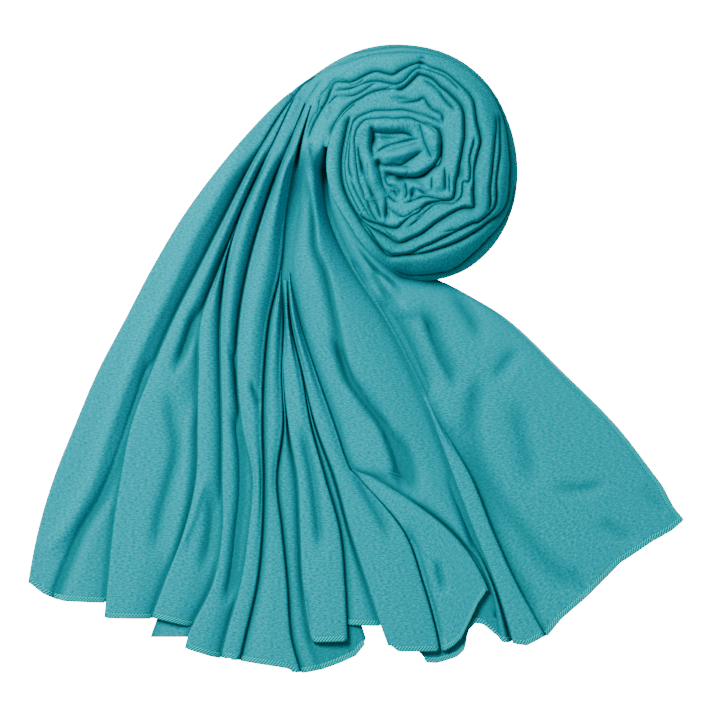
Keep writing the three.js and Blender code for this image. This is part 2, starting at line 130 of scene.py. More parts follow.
# Stretches of the fan: cut edge in photo pixels, crown height at top and hem, highest place across
STRETCHES = [
    dict(name="stretch_a_left_panel", lines=("edge", "ab"), sides=(fold(0), lap("bc")),
         top="coil", hem=[(28, 583), (40, 592), (53, 598), (63, 600), (104, 602)],
         crest=0.6, crown=(15, 5), flat=(0.055, 0.4)),
    dict(name="stretch_b", lines=("ab", "bc"), sides=(fold(1), lap("cd", 1, 12)),
         top="coil", hem=[(104, 617), (150, 618)], crest=0.4, crown=(17, 5.5),
         flat=(0.053, 0.4)),
    dict(name="stretch_c", lines=("bc", "cd"), sides=(fold(1), lap("dd")),
         top=(102, 102), hem=[(152, 617), (170, 621), (187, 625)], crest=0.35, crown=(11, 5),
         flat=(0.038, 0.27)),
    dict(name="stretch_c_under", lines=("cu", "cv"), sides=(CUT, CUT), top=(-150, -150),
         hem=[(147, 637), (187, 637)], crest=0.5, crown=(0.6, 0.6), flat=(0.032, 0.062),
         level=True),
    dict(name="stretch_d_left", lines=("cd", "dd"), sides=(fold(1), lap("de")),
         top="coil", hem=[(185, 648), (210, 655), (230, 659)], crest=0.35, crown=(22, 5.5),
         flat=(0.037, 0.44)),
    dict(name="stretch_d_right", lines=("dd", "de"), sides=(fold(1), fold(1)),
         top="coil", hem=[(230, 657), (245, 660)], crest=0.5, crown=(26, 6),
         flat=(0.036, 0.42)),
    dict(name="stretch_e", lines=("de", "ef"), sides=(lap("dd"), fold(1)),
         top=(68, 68), hem=[(240, 660), (270, 664), (290, 667), (302, 672)], crest=0.6,
         crown=(14, 5), flat=(0.035, 0.29)),
    dict(name="stretch_f", lines=("ef", "fg"), sides=(lap("de"), lap("hi", 0.75, 60)),
         top=(28, 28), hem=[(302, 672), (320, 669)], crest=0.4, crown=(7, 3.5),
         flat=(0.055, 0.212),
         hem_to=0.99, left_hem=[(0, -238), (1, -237.9)],
         right_hem=[(0, -212), (0.05, -216), (0.3, -225), (0.6, -230), (1, -235.6)]),
    dict(name="stretch_g", lines=("fg", "gh"), sides=(fold(1), fold(2)),
         top=(60, 60), hem=[(312, 641), (348, 640)], crest=0.75, crown=(13, 6.5),
         flat=(0.04, 0.226)),
    dict(name="stretch_h", lines=("gh", "hi"),
         sides=(lap("fg", 0.4, LAP, 1), lap("il", 0.4, LAP, 1)),
         top=(-12, -12), hem=[(352, 624), (378, 625)], crest=0.5, crown=(8, 5),
         flat=(0.036, 0.14)),
    dict(name="stretch_i", lines=("hi", "il"), sides=(fold(2), fold(1)),
         top=(66, 66), hem=[(388, 645), (395, 650), (440, 650)], crest=0.4, crown=(15, 6),
         flat=(0.042, 0.256)),
    dict(name="stretch_j_flap", lines=("il", "kk"), sides=(fold(1), fold(1)),
         top=(-84, -84), hem=[(418, 652), (440, 650), (450, 645), (460, 637), (470, 620),
                              (480, 602), (491, 588)],
         crest=0.55, crown=(8, 6), flat=(0.048, 0.123)),
    dict(name="stretch_k", lines=("kk", "km"), sides=(lap("ku", 1, 90), lap("mn", 1.1, least=9)),
         top=(198, 180), hem=[(475, 623), (491, 631), (503, 641)], crest=0.45, crown=(31, 7.5),
         flat=(0.088, 0.41), hem_from=0.01,
         left_hem=[(0, -222.7), (0.08, -230), (0.2, -230.5), (0.32, -228.5), (0.46, -225.5),
                   (0.56, -220), (0.61, -209), (0.66, -202.5), (0.73, -200), (0.82, -201),
                   (0.9, -205.5), (1, -211)],
         right_hem=[(0, -214), (1, -214.3)]),
    dict(name="stretch_m_ridge", lines=("km", "mn"), sides=(fold(2), fold(2)),
         top=(-25, -25), hem=[(503, 642), (525, 644), (545, 636)], crest=0.5, crown=(8.5, 7),
         flat=(0.031, 0.15)),
    dict(name="stretch_n_right_panel", lines=("mn", "side"), sides=(lap("km", 0.5, LAP, 1), CUT),
         top=(150, 72), hem=[(545, 636), (560, 618), (587, 595), (592, 590), (620, 562),
                             (652, 541), (672, 530), (685, 519)],
         crest=0.3, crown=(14, 3), flat=(0.105, 0.3)),
]


def crease(deep, out, near, *line):
    """A sharp crease: its depth, the slopes outside and inside its line, and the line."""
    return dict(deep=deep, out=out, near=near, line=line)


def trough(deep, left, right, *line):
    """A soft trough, a ridge below zero: its depth, the slopes left and right, and the line."""
    return dict(deep=deep, left=left, right=right, line=line)


# Troughs and ridges of the fan, by stretch, in photo pixels
FAN_CREASES = {
    "stretch_a_left_panel": [
        trough(4.6, 5, 4, (150, 355), (145, 387), (133, 425), (120, 460), (103, 497), (83, 530),
            (63, 578), (48, 620)),
        trough(-2.2, 5, 6, (255, 125), (235, 160), (215, 200), (195, 235), (170, 290), (150, 330),
            (130, 375), (110, 430), (95, 475), (75, 515), (45, 560)),
    ],
    "stretch_b": [
        trough(2.6, 5, 5, (165, 385), (175, 430), (177, 455), (168, 490), (160, 520), (155, 560)),
        trough(-1.6, 5, 4, (197, 390), (190, 430), (185, 500), (165, 580)),
        trough(5, 4, 4.5, (203, 300), (195, 318), (188, 340), (180, 360), (172, 380)),
    ],
    "stretch_d_left": [
        trough(2, 2.5, 2.5, (225, 335), (238, 376)),
        trough(5, 4, 5, (230, 405), (241, 440), (243, 490), (239, 530), (233, 580), (222, 610)),
    ],
    "stretch_c": [
        trough(2.6, 6, 5, (206, 480), (212, 505), (210, 540), (200, 580)),
        trough(-1.5, 3, 4, (216, 474), (202, 488), (192, 520), (176, 560)),
    ],
    "stretch_d_right": [
        trough(3, 1.6, 2.4, (250, 378), (254, 390), (258, 400), (261, 412)),
    ],
    "stretch_g": [
        trough(3.2, 4, 4, (300, 420), (306, 445), (313, 480), (318, 520), (322, 560)),
        trough(3, 3, 3, (303, 585), (306, 610), (309, 641)),
    ],
    "stretch_i": [
        trough(2.6, 5, 4, (350, 462), (365, 490), (382, 520), (396, 550)),
    ],
    "stretch_j_flap": [
        trough(3.4, 4, 7, (405, 520), (418, 560), (426, 590), (434, 618), (442, 655)),
        trough(2.2, 3, 3, (436, 556), (441, 576), (447, 596)),
    ],
    "stretch_k": [
        trough(4.2, 1.4, 5.5, (300, 165), (308, 187), (314, 220), (317, 250), (327, 273), (337, 317),
            (345, 355), (352, 375), (360, 390), (372, 410), (387, 425), (400, 452), (408, 480),
            (412, 505)),
        trough(4, 2, 5, (330, 330), (340, 352), (348, 374), (357, 394)),
        trough(4, 7, 1.6, (338, 370), (355, 392), (373, 413), (386, 438), (396, 468), (402, 498)),
        trough(6, 6, 2, (392, 428), (401, 448), (410, 474), (416, 505)),
        trough(3, 6, 3, (446, 470), (462, 510), (474, 548), (486, 590), (496, 630)),
    ],
    "stretch_n_right_panel": [
        trough(3.6, 6, 3, (446, 420), (462, 450), (478, 486), (492, 520), (506, 556), (524, 590),
            (542, 622)),
        trough(3, 5, 5, (448, 288), (470, 315), (486, 348)),
        trough(2, 5, 5, (520, 345), (508, 362), (492, 384)),
        trough(3.2, 6, 7, (474, 370), (477, 390), (474, 430), (480, 460), (500, 500), (530, 540),
            (548, 562), (584, 594)),
        trough(2.2, 7, 7, (513, 395), (525, 440), (536, 495)),
        trough(1.8, 4, 4, (548, 487), (580, 490), (612, 484)),
        trough(2, 3, 3, (640, 484), (655, 500), (668, 514)),
        trough(2, 4, 4, (596, 518), (618, 532), (640, 543)),
        trough(2, 4, 4, (568, 566), (578, 580), (590, 597)),
        trough(5.5, 8, 1.8, (416, 306), (424, 316), (436, 348), (450, 378), (460, 396)),
        trough(7.5, 7.5, 4, (376, 293), (388, 312), (400, 335), (410, 356), (420, 379), (428, 402)),
        trough(4, 2.2, 2.2, (352, 258), (360, 275), (370, 286)),
        trough(3, 1.4, 1.4, (352, 240), (373, 267), (390, 281), (399, 291), (405, 305)),
        trough(-2.2, 3, 3, (374, 276), (382, 300), (394, 312), (408, 313), (414, 309)),
        trough(3, 2, 3, (374, 262), (380, 285), (396, 306)),
        trough(-2, 3, 3, (396, 300), (418, 318)),
    ],
}

# Turn lines of the coil: radii at angles clockwise from the left, seen from above
TURN_COLUMNS = ("at", "rim", "rim_in", "wide_in", "third_in", "heart")
TURN_ROWS = [
    (8, None, 79, 72.5, 63.1, 42),
    (32, 104, 81.5, 76, 61.2, 45),
    (45, 97.5, 82, 74.5, 59.6, 43),
    (67.5, 93, 82.5, 71, 57, 33.5),
    (90, 89, 81, 70.5, 59, 31),
    (112.5, 86.5, 79, 70, 59, 29),
    (135, 83.5, 77, 64.5, 54.5, 30),
    (157.5, 80.5, 71, 55, 43.5, 24),
    (180, 81, 64, 48.5, 37, 23),
    (202.5, 84.5, 68, 51, 37.5, 16.5),
    (225, 89, 67.5, 52.5, 41, 15),
    (247.5, 91.5, 66, 50.5, 35.5, 13.5),
    (270, 88, 69.5, 58, 42, 12),
    (292.5, 76, 66, 58.5, 48, 20),
    (315, 66, 57.5, 57, 55, 44),
    (337.5, 64, 53.5, None, None, 42),
    (360, 63, 50.5, None, None, 41),
    (382.5, 62, 51.5, None, None, 45),
    (400, 59.5, 56, None, None, 44),
]
TURNS = [dict(zip(TURN_COLUMNS, row)) for row in TURN_ROWS]

# Creases of the coil, lines read as an angle round it and a radius in photo pixels
COIL_CREASES = {
    "rim shadow": crease(14, 1.6, 1.2, (190, 105), (202, 108), (214, 109), (225, 108), (236, 110),
        (247.5, 114), (258, 113), (270, 112), (280, 108)),
    "rim light": crease(10, 1.4, 1.4, (50, 121), (67.5, 113), (80, 109), (90, 108), (100, 108),
        (112.5, 108), (125, 106)),
    "left outline": crease(13, 2, 1.6, (315, 103), (325, 95), (337.5, 93), (360, 96), (368, 101),
        (372, 106)),
    "rim fold": crease(18, 2.6, 1.2, (60, 122), (67.5, 119), (90, 114), (112.5, 110), (135, 107),
        (150, 103), (157.5, 101), (165, 99), (180, 98), (190, 99), (202, 103), (210, 102), (218, 97),
        (225, 95), (240, 92), (255, 91), (265, 92), (275, 93), (283, 96), (292.5, 87), (300, 80),
        (315, 75), (337.5, 71), (360, 68), (382.5, 69), (398, 75)),
    "rim inside": crease(15, 2.4, 1.1, (150, 100), (157.5, 95), (165, 91), (175, 88), (185, 86),
        (195, 87), (202, 91), (210, 94), (222, 90), (225, 87), (232, 84), (255, 84), (262, 86),
        (270, 91), (278, 94), (283, 94), (290, 90), (300, 83), (315, 76)),
    "rim inside, right fold": crease(14, 2.2, 1.2, (150, 96), (157.5, 91), (165, 86), (172, 83),
        (180, 81), (190, 81), (200, 83), (207, 88), (215, 93)),
    "right fold end": crease(7, 2, 1.2, (232, 84), (240, 80), (247.5, 77)),
    "wide band inside": crease(17, 3.5, 1.3, (10, 104), (20, 102), (28, 101), (35, 101), (41, 104),
        (46, 107), (50, 101), (54, 96), (67.5, 94.5), (75, 88), (79, 86), (85, 90), (92, 95),
        (97, 97), (103, 94), (112.5, 93), (128, 88), (135, 86), (140, 82), (150, 75), (157.5, 73),
        (165, 71), (172, 67), (180, 64), (190, 63), (200, 66), (207, 69), (213, 74), (217, 77),
        (222, 70), (230, 66), (247.5, 66), (255, 69), (262, 73), (270, 77), (278, 82), (285, 79),
        (292.5, 77), (300, 76.5), (308, 76), (316, 75)),
    "notch at the top": crease(15, 2, 2, (94, 97), (97, 103), (100, 97)),
    "third band fold": crease(11, 2.4, 1.1, (40, 105), (45, 98), (50, 92), (60, 88), (67.5, 84),
        (75, 78), (79, 76), (85, 78), (90, 85), (95, 91), (103, 90), (112.5, 89), (120, 86),
        (128, 84)),
    "third band right fold": crease(11, 2.4, 1.3, (157.5, 68), (165, 64), (172, 60), (180, 58),
        (190, 60), (200, 61), (203, 56), (215, 61), (225, 60), (230, 55), (238, 50), (247.5, 50.5),
        (262, 56), (268, 61)),
    "third band left fold": crease(11, 2.4, 1.3, (292, 69), (298, 69), (307, 64), (315, 59),
        (322, 55)),
    "third band start": crease(9, 1.6, 1.4, (14, 84), (25, 83), (35, 82), (45, 80), (60, 77),
        (70, 74), (80, 71)),
    "third band inside": crease(17, 3, 1.4, (75, 72), (82, 70), (88, 74), (95, 84), (97, 85),
        (105, 83), (112.5, 78), (120, 76), (135, 72), (150, 61), (157.5, 57), (165, 53), (175, 50),
        (185, 48), (195, 48), (205, 49), (222, 56), (235, 49), (247.5, 46), (255, 48), (262, 52),
        (270, 55), (277, 62), (282, 68), (290, 69.5), (298, 70.5), (306, 73), (316, 74.5)),
    "upper right fold": crease(10, 2, 1.4, (97, 80), (105, 77), (112.5, 73), (120, 68), (128, 66),
        (135, 65)),
    "inner right fold": crease(10, 2, 1.4, (75, 58), (95, 58), (102, 62), (108, 57), (115, 54),
        (125, 54), (135, 45)),
    "heart outline": crease(7, 1.3, 1.2, (315, 63), (325, 57), (338, 55), (360, 54), (368, 55),
        (380, 59), (390, 61), (400, 60), (405, 57), (410, 53), (420, 48), (427.5, 44), (440, 42),
        (450, 41), (472.5, 38), (495, 40), (510, 35), (517.5, 32), (530, 31), (540, 30), (550, 28),
        (560, 23), (570, 21), (585, 20), (607.5, 18), (630, 16), (652.5, 17)),
    "heart shadow": crease(16, 2.2, 1.6, (480, 39), (495, 40), (510, 35), (517.5, 32), (530, 31),
        (540, 30), (550, 28), (560, 23), (570, 21), (585, 20), (607.5, 18), (630, 16), (645, 17)),
    "heart ring": crease(7, 1.3, 1.4, (338, 60), (350, 61), (360.5, 61), (371, 61.5), (390, 67),
        (398, 67), (405, 64), (414, 60), (429, 52.5), (441, 50), (455, 47), (468, 46), (485, 47),
        (497, 47)),
    "left outline, inner": crease(7, 1.2, 1.2, (300, 77), (315, 71), (337.5, 67), (350, 65.5),
        (360, 64.5), (380, 65), (392, 68)),
    "fold left": crease(6, 1.3, 1.2, (305, 62), (318, 52), (335, 46), (352, 43), (363, 42.5)),
}


def read_table(rows, key, column, at):
    """A column of a table, read smoothly between its rows and straight on past its ends."""
    known = sorted((row[key], row[column]) for row in rows if row.get(column) is not None)
    place = np.array([row[0] for row in known], float)
    value = np.array([row[1] for row in known], float)
    steps = np.diff(value) / np.diff(place)
    slope = np.empty_like(value)
    slope[0] = steps[0]
    slope[-1] = steps[-1]
    slope[1:-1] = (value[2:] - value[:-2]) / (place[2:] - place[:-2])
    at = np.asarray(at, float)
    i = np.clip(np.searchsorted(place, at) - 1, 0, len(place) - 2)
    span = place[i + 1] - place[i]
    t = (at - place[i]) / span
    inside = ((2 * t**3 - 3 * t**2 + 1) * value[i] + (t**3 - 2 * t**2 + t) * span * slope[i]
              + (3 * t**2 - 2 * t**3) * value[i + 1] + (t**3 - t**2) * span * slope[i + 1])
    return np.where((t < 0) | (t > 1), value[i] + steps[i] * (at - place[i]), inside)


def fold_line(column, y):
    """Where a fold line of the fan is at height y."""
    return read_table(FOLDS, "y", column, y)


# The crease that each turn line follows
CREASE_OF = {
    "rim_in": "rim inside",
    "wide_in": "wide band inside",
    "third_in": "third band inside",
    "heart": "heart outline",
}

# Degrees over which a crease is blended into the table's line, and where the last turn starts
BLEND = 9
LAST_TURN = 300


def turn_line(column, angle):
    """The radius of a turn line at an angle, drawn to the crease that it follows."""
    angle = np.asarray(angle, float)
    table = read_table(TURNS, "at", column, angle)
    if column not in CREASE_OF:
        return table
    rows = [dict(at=a, radius=r) for a, r in COIL_CREASES[CREASE_OF[column]]["line"]]
    turned = np.where((column == "heart") & (angle < LAST_TURN), angle + 360, angle)
    seen = read_table(rows, "at", "radius", turned) * PIXEL
    first, last = rows[0]["at"], rows[-1]["at"]
    share = ramp((turned - first) / BLEND) * ramp((last - turned) / BLEND)
    return np.where((turned < first) | (turned > last), table, mix(table, seen, share))


def mix(a, b, t):
    """From a at 0 to b at 1."""
    return a + (b - a) * t


def bump(offset, spread):
    """One in the middle, falling smoothly to nothing."""
    return np.exp(-((offset / spread) ** 2))


def ramp(t):
    """A smooth step from 0 to 1."""
    t = np.clip(t, 0, 1)
    return t * t * (3 - 2 * t)


def photo_point(px, py):
    """Millimetres on the table of a pixel of the photo."""
    return (px - ORIGIN_PIXEL[0]) * PIXEL, (ORIGIN_PIXEL[1] - py) * PIXEL


def polar_point(angle, radius):
    """Millimetres on the table of a place read round the coil."""
    turn = math.radians(angle)
    px = COIL_PIXEL[0] - radius * math.cos(turn)
    py = COIL_PIXEL[1] - radius * math.sin(turn)
    return photo_point(px, py)


def smooth_path(points, per_span=6):
    """A smooth line through points."""
    points = np.array(points, float)
    rows = [dict(at=i, x=p[0], y=p[1]) for i, p in enumerate(points)]
    at = np.linspace(0, len(points) - 1, (len(points) - 1) * per_span + 1)
    return np.stack([read_table(rows, "at", "x", at), read_table(rows, "at", "y", at)], axis=1)


def from_path(x, y, path):
    """Distance from a path, positive on its left, and the length gone along it."""
    best = np.full(x.shape, np.inf)
    side = np.ones(x.shape)
    along = np.zeros(x.shape)
    gone = 0.0
    for (ax, ay), (bx, by) in zip(path, path[1:]):
        dx, dy = bx - ax, by - ay
        length = math.hypot(dx, dy)
        t = np.clip(((x - ax) * dx + (y - ay) * dy) / length**2, 0, 1)
        ex, ey = x - ax - t * dx, y - ay - t * dy
        far = ex * ex + ey * ey
        closer = far < best
        best = np.where(closer, far, best)
        side = np.where(closer, np.sign(dx * ey - dy * ex), side)
        along = np.where(closer, gone + t * length, along)
        gone += length
    return np.sqrt(best) * side, along, gone


# A crease: its share of the table's depth, its shoulders, the fade at its ends, its reach
CREASE = 0.52
SHOULDER = 2.6
FADE = 8
REACH = 16

# The shade painted in a crease: how dark, how wide, and the depth at which it is full
SHADE = 0.5
SHADE_WIDTH = 3.6
SHADE_DEPTH = 14

# A trough: its share of the table's depth, and its fade at the ends
TROUGH = 1.6
TROUGH_FADE = 25
TROUGH_FADE_SHARE = 0.4


def crease_depth(x, y, creases, points_of):
    """How deep the creases cut at each place, and how dark the shade painted in them is there."""
    total = np.zeros(x.shape)
    shade = np.zeros(x.shape)
    for row in creases:
        path = smooth_path([points_of(*p) for p in row["line"]])
        low, high = path.min(axis=0) - REACH, path.max(axis=0) + REACH
        near = (x > low[0]) & (x < high[0]) & (y > low[1]) & (y < high[1])
        if not near.any():
            continue
        off, along, length = from_path(x[near], y[near], path)
        width = np.where(off > 0, row["out"], row["near"])
        ends = ramp(along / FADE) * ramp((length - along) / FADE)
        rest = np.clip(1 - np.abs(off) / (width * SHOULDER), 0, 1)
        cut = CREASE * row["deep"] * (1 - np.sqrt(1 - rest**2))
        total[near] += (cut * ends)**3
        rest = np.clip(1 - np.abs(off) / (width * SHADE_WIDTH), 0, 1)
        dark = rest**2 * ends * min(1, row["deep"] / SHADE_DEPTH)
        shade[near] = np.maximum(shade[near], dark)
    return np.cbrt(total), SHADE * shade


def trough_depth(x, y, creases):
    """How deep the soft troughs are at each place."""
    total = np.zeros(x.shape)
    for row in creases:
        path = smooth_path([photo_point(*p) for p in row["line"]])
        off, along, length = from_path(x, y, path)
        width = np.where(off > 0, row["left"], row["right"])
        fade = min(TROUGH_FADE, length * TROUGH_FADE_SHARE)
        ends = ramp(along / fade) * ramp((length - along) / fade)
        total += TROUGH * row["deep"] * bump(off, width) * ends
    return total


def grid(name, across, along, place):
    """A grid of cloth. place turns shares across and along it into x, y, z in millimetres."""
    bm = bmesh.new()
    bmesh.ops.create_grid(bm, x_segments=across, y_segments=along, size=0.5)
    mesh = bpy.data.meshes.new(name)
    bm.to_mesh(mesh)
    bm.free()
    flat = np.empty(len(mesh.vertices) * 3)
    mesh.vertices.foreach_get("co", flat)
    shares = flat.reshape(-1, 3)[:, :2] + 0.5
    shares = np.stack([np.round(shares[:, 0] * across) / across,
                       np.round(shares[:, 1] * along) / along], axis=1)
    x, y, z, *shade = place(shares[:, 0], shares[:, 1])
    spots = np.stack([x, y, z], axis=1)
    mesh.vertices.foreach_set("co", (spots * MM).ravel())
    lay_out(mesh, shares, spots, across, along)
    # A fourth value from place is painted shade, kept on the points for the cloth's colour
    if shade:
        painted_shade = mesh.attributes.new("painted_shade", "FLOAT", "POINT")
        painted_shade.data.foreach_set("value", shade[0])
    mesh.polygons.foreach_set("use_smooth", [True] * len(mesh.polygons))
    mesh.update()
    piece = bpy.data.objects.new(name, mesh)
    bpy.context.collection.objects.link(piece)
    return piece


def lay_out(mesh, shares, spots, across, along):
    """UVs in metres: how far across and along the cloth each point is."""
    order = np.lexsort((shares[:, 0], shares[:, 1]))
    table = spots[order].reshape(along + 1, across + 1, 3)
    run = np.zeros((along + 1, across + 1))
    run[:, 1:] = np.cumsum(np.linalg.norm(np.diff(table, axis=1), axis=2), axis=1)
    run -= run[:, [across // 2]]
    length = np.zeros((along + 1, across + 1))
    length[1:] = np.cumsum(np.linalg.norm(np.diff(table, axis=0), axis=2), axis=0)
    length = np.repeat(length[:, [across // 2]], across + 1, axis=1)
    uv = np.empty((len(spots), 2))
    uv[order, 0] = run.ravel() * MM
    uv[order, 1] = length.ravel() * MM
    corners = np.empty(len(mesh.loops), int)
    mesh.loops.foreach_get("vertex_index", corners)
    layer = mesh.uv_layers.new(name="cloth")
    layer.data.foreach_set("uv", uv[corners].ravel())


# Points nearer than this, in metres, become one
WELD = 1e-6


def outward(piece):
    """Weld a sheet's doubled points and turn its face up."""
    bm = bmesh.new()
    bm.from_mesh(piece.data)
    bmesh.ops.remove_doubles(bm, verts=bm.verts[:], dist=WELD)
    up = sum(face.normal.z * face.calc_area() for face in bm.faces)
    if up < 0:
        bmesh.ops.reverse_faces(bm, faces=bm.faces[:])
    bm.to_mesh(piece.data)
    bm.free()


def face_out(piece):
    """Turn the faces of a closed roll out."""
    bm = bmesh.new()
    bm.from_mesh(piece.data)
    bmesh.ops.recalc_face_normals(bm, faces=bm.faces[:])
    bm.to_mesh(piece.data)
    bm.free()


def thicken(piece):
    """Give a sheet the thickness of the cloth."""
    solid = piece.modifiers.new("wall", "SOLIDIFY")
    solid.thickness = SHELL * MM
    solid.offset = 0
    solid.use_even_offset = False


# Painted shade: how dark the cloth is in a full hollow, the depth of one, and beside a fold over it
HOLLOW_SHADE = 0.62
HOLLOW_SHADE_DEPTH = 7.5
UNDER_FOLD_SHADE = 0.4
UNDER_FOLD_SHADE_WIDTH = 4.5

# How far down a pleat takes to rise out of its neighbours, and the share it starts with
EMERGE = 45
EMERGE_FROM = 0.12

# Shares of a stretch's width across the grid taken by a fold's return and by its round edge
RETURN_SHARE = 0.07
ROUND_SHARE = 0.17

# A fold's radius and turned-under width against a narrow pleat's width, and how far its foot is in
RADIUS_OF_WIDTH = 0.16
RETURN_OF_WIDTH = 0.36
FOOT_IN = 0.6 * CLOTH
LAP_IN = 0.6

# How far a pleat's crown stays over its sides, and how fast troughs fade in from the sides
CREST_LIFT = 0.4
FACE_FADE = 12

# Stretches that start higher than this run into the coil, from and over these angles
COIL_REACHED = 160
JOIN_FROM = -7
JOIN_OVER = 15
JOIN_LIFT = 0.1

# The search for the height at which a line meets the coil: where it starts, how many rounds
MEET_FROM = 195.0
MEET_ROUNDS = 30


def meet_coil(line):
    """Height at which a fold line of the fan runs into the start of the coil's rim."""
    y = MEET_FROM
    slope = math.tan(math.radians(COIL_START))
    for _ in range(MEET_ROUNDS):
        y = COIL["y"] + slope * (COIL["x"] - float(fold_line(line, y)))
    return y


def coil_polar(x, y):
    """The radius and the angle of a place round the coil."""
    angle = np.degrees(np.arctan2(y - COIL["y"], COIL["x"] - x))
    return np.hypot(x - COIL["x"], y - COIL["y"]), angle


def fan_surface(stretch):
    """Where each point of a stretch of the fan lies."""
    left, right = stretch["lines"]
    top = stretch["top"]
    if top == "coil":
        top = (meet_coil(left), meet_coil(right))
    hem = [photo_point(*spot) for spot in stretch["hem"]]
    hem_y = [y for _, y in hem]
    hem_at = [float((x - fold_line(left, y)) / (fold_line(right, y) - fold_line(left, y)))
              for x, y in hem]
    relief = FAN_CREASES.get(stretch["name"], [])

    def edge(side, line, inward, p, y, width, risen):
        """Points of a side that is p of the way from its hidden end to the open face."""
        radius = np.minimum(FOLD_RADIUS, width * RADIUS_OF_WIDTH) * risen
        back = np.minimum(FOLD_RETURN, width * RETURN_OF_WIDTH)
        bed = side["level"] * LAYER * risen + CLOTH / 2
        foot = line + inward * FOOT_IN
        if side["kind"] == "fold":
            split = RETURN_SHARE / ROUND_SHARE
            flat_x = foot + inward * mix(back, radius, p / split)
            turn = np.pi * (p - split) / (1 - split)
            round_x = foot + inward * radius * (1 - np.sin(turn))
            round_z = bed + radius * (1 - np.cos(turn))
            flat = p < split
            return np.where(flat, flat_x, round_x), np.where(flat, bed, round_z)
        room = 0
        if side["reach"] is not None:
            room = np.maximum(0, (line - fold_line(side["reach"], y)) * inward)
        length = np.maximum(side["least"], np.minimum(side["most"], room * side["share"]))
        return mix(line - inward * length, line + inward * LAP_IN, p), bed * np.ones(p.shape)

    def place(u, v):
        down = 1 - v
        across = np.clip((u - ROUND_SHARE) / (1 - 2 * ROUND_SHARE), 0, 1)
        bottom = np.interp(across, hem_at, hem_y)
        from_left = u / ROUND_SHARE
        from_right = (1 - u) / ROUND_SHARE
        for key, hidden in (("left_hem", from_left), ("right_hem", from_right)):
            if key in stretch:
                shares, heights = zip(*stretch[key])
                bottom = np.where(hidden < 1, np.interp(hidden, shares, heights), bottom)
        y = mix(mix(top[0], top[1], across), bottom, down)
        start = fold_line(left, y) + PLEAT_GAP / 2
        finish = np.maximum(fold_line(right, y) - PLEAT_GAP / 2, start + LEAST_PLEAT)
        width = finish - start
        progress = np.clip((y - hem_y[0]) / (top[0] - hem_y[0]), 0, 1)
        fade = progress**CROWN_FADE
        one = np.ones(u.shape)
        risen = one
        if stretch["top"] != "coil":
            risen = mix(EMERGE_FROM, 1, ramp((top[0] - y) / EMERGE))
        side_0, side_1 = stretch["sides"]
        x0, z0 = edge(side_0, start, 1, one, y, width, risen)
        x1, z1 = edge(side_1, finish, -1, one, y, width, risen)
        lift = 0 if stretch.get("level") else CREST_LIFT
        crown = np.maximum(mix(stretch["crown"][1], stretch["crown"][0], fade),
                           np.maximum(z0, z1) + lift)
        crest = stretch["crest"]
        near = np.where(across < crest, 1 - across / crest, (across - crest) / (1 - crest))
        z_edge = np.where(across < crest, z0, z1)
        z_face = z_edge + (crown - z_edge) * (1 - near**2) * risen
        x_face = mix(x0, x1, across)
        lx, lz = edge(side_0, start, 1, np.clip(from_left, 0, 1), y, width, risen)
        rx, rz = edge(side_1, finish, -1, np.clip(from_right, 0, 1), y, width, risen)
        x = np.where(u < ROUND_SHARE, lx, np.where(u > 1 - ROUND_SHARE, rx, x_face))
        z = np.where(u < ROUND_SHARE, lz, np.where(u > 1 - ROUND_SHARE, rz, z_face))
        half = ROUND_SHARE / 2
        open_face = ramp((u - half) * FACE_FADE) * ramp((1 - half - u) * FACE_FADE)
        sunk = trough_depth(x, y, relief) * open_face
        z = z - sunk
        # Painted shade in the troughs and beside a fold over a lap, and the coil's painted crease
        # shade where they join
        painted_shade = HOLLOW_SHADE * np.clip(sunk / HOLLOW_SHADE_DEPTH, 0, 1)
        for side, off in zip(stretch["sides"], (x - start, finish - x)):
            if side["kind"] == "lap":
                painted_shade = np.maximum(painted_shade, UNDER_FOLD_SHADE * bump(np.maximum(off, 0), UNDER_FOLD_SHADE_WIDTH) * risen)
        if stretch["top"] == "coil" or stretch["top"][0] > COIL_REACHED:
            radius, angle = coil_polar(x, y)
            joined = ramp((angle - JOIN_FROM) / JOIN_OVER) * open_face
            coil_z, shade = coil_height(radius, np.maximum(angle, 0), x, y)
            z = mix(z, coil_z + JOIN_LIFT, joined)
            painted_shade = mix(painted_shade, shade, joined)
        return x, y, np.maximum(z, SHELL / 2), painted_shade

    return place


# Stretches of the coil: the lines they run between and their first and last angle
COIL_STRETCHES = [
    dict(name="coil_rim", outer="rim", inner="rim_in", span=(COIL_START - 1, 404), outside=True,
         flat=(0.08, 0.485)),
    dict(name="coil_wide_band", outer="rim_in", inner="wide_in", span=(9, 314), outside=False,
         flat=(0.08, 0.37)),
    dict(name="coil_third_band", outer="wide_in", inner="third_in", span=(9, 314), outside=False,
         flat=(0.085, 0.345)),
]

# Share of a band across the grid that goes down into the coil, and the gap between two bands
SKIRT_SHARE = 0.12
COIL_GAP = 0.3

# Heights of a band's hidden edge, of the deepest crease and of the rim's foot on the table
COIL_FLOOR = 4
LEAST_HEIGHT = 3
RIM_FOOT = 0.5

# The left of the coil has one radius: the angles it holds from and to, and the blend at each
LEFT_SIDE = {"radius": 92, "after": 270, "blend_in": 45, "before": 45, "blend_out": 35}
RIM_MARGIN = 2

# Angles at which the turn lines start again, and between which the third band's inside shows
FIRST_TURN = 8
THIRD_SPAN = (45, 314)


def dome(radius, angle):
    """Height of the coil without its creases."""
    far_left = np.maximum(ramp((angle - LEFT_SIDE["after"]) / LEFT_SIDE["blend_in"]),
                          ramp((LEFT_SIDE["before"] - angle) / LEFT_SIDE["blend_out"]))
    seen = turn_line("rim", np.clip(angle, LEFT_SIDE["before"], LEFT_SIDE["after"]))
    rim = mix(seen, LEFT_SIDE["radius"], far_left)
    share = np.minimum(radius, rim) / (rim + RIM_MARGIN)
    return COIL["height"] * (1 - share ** COIL["power"])


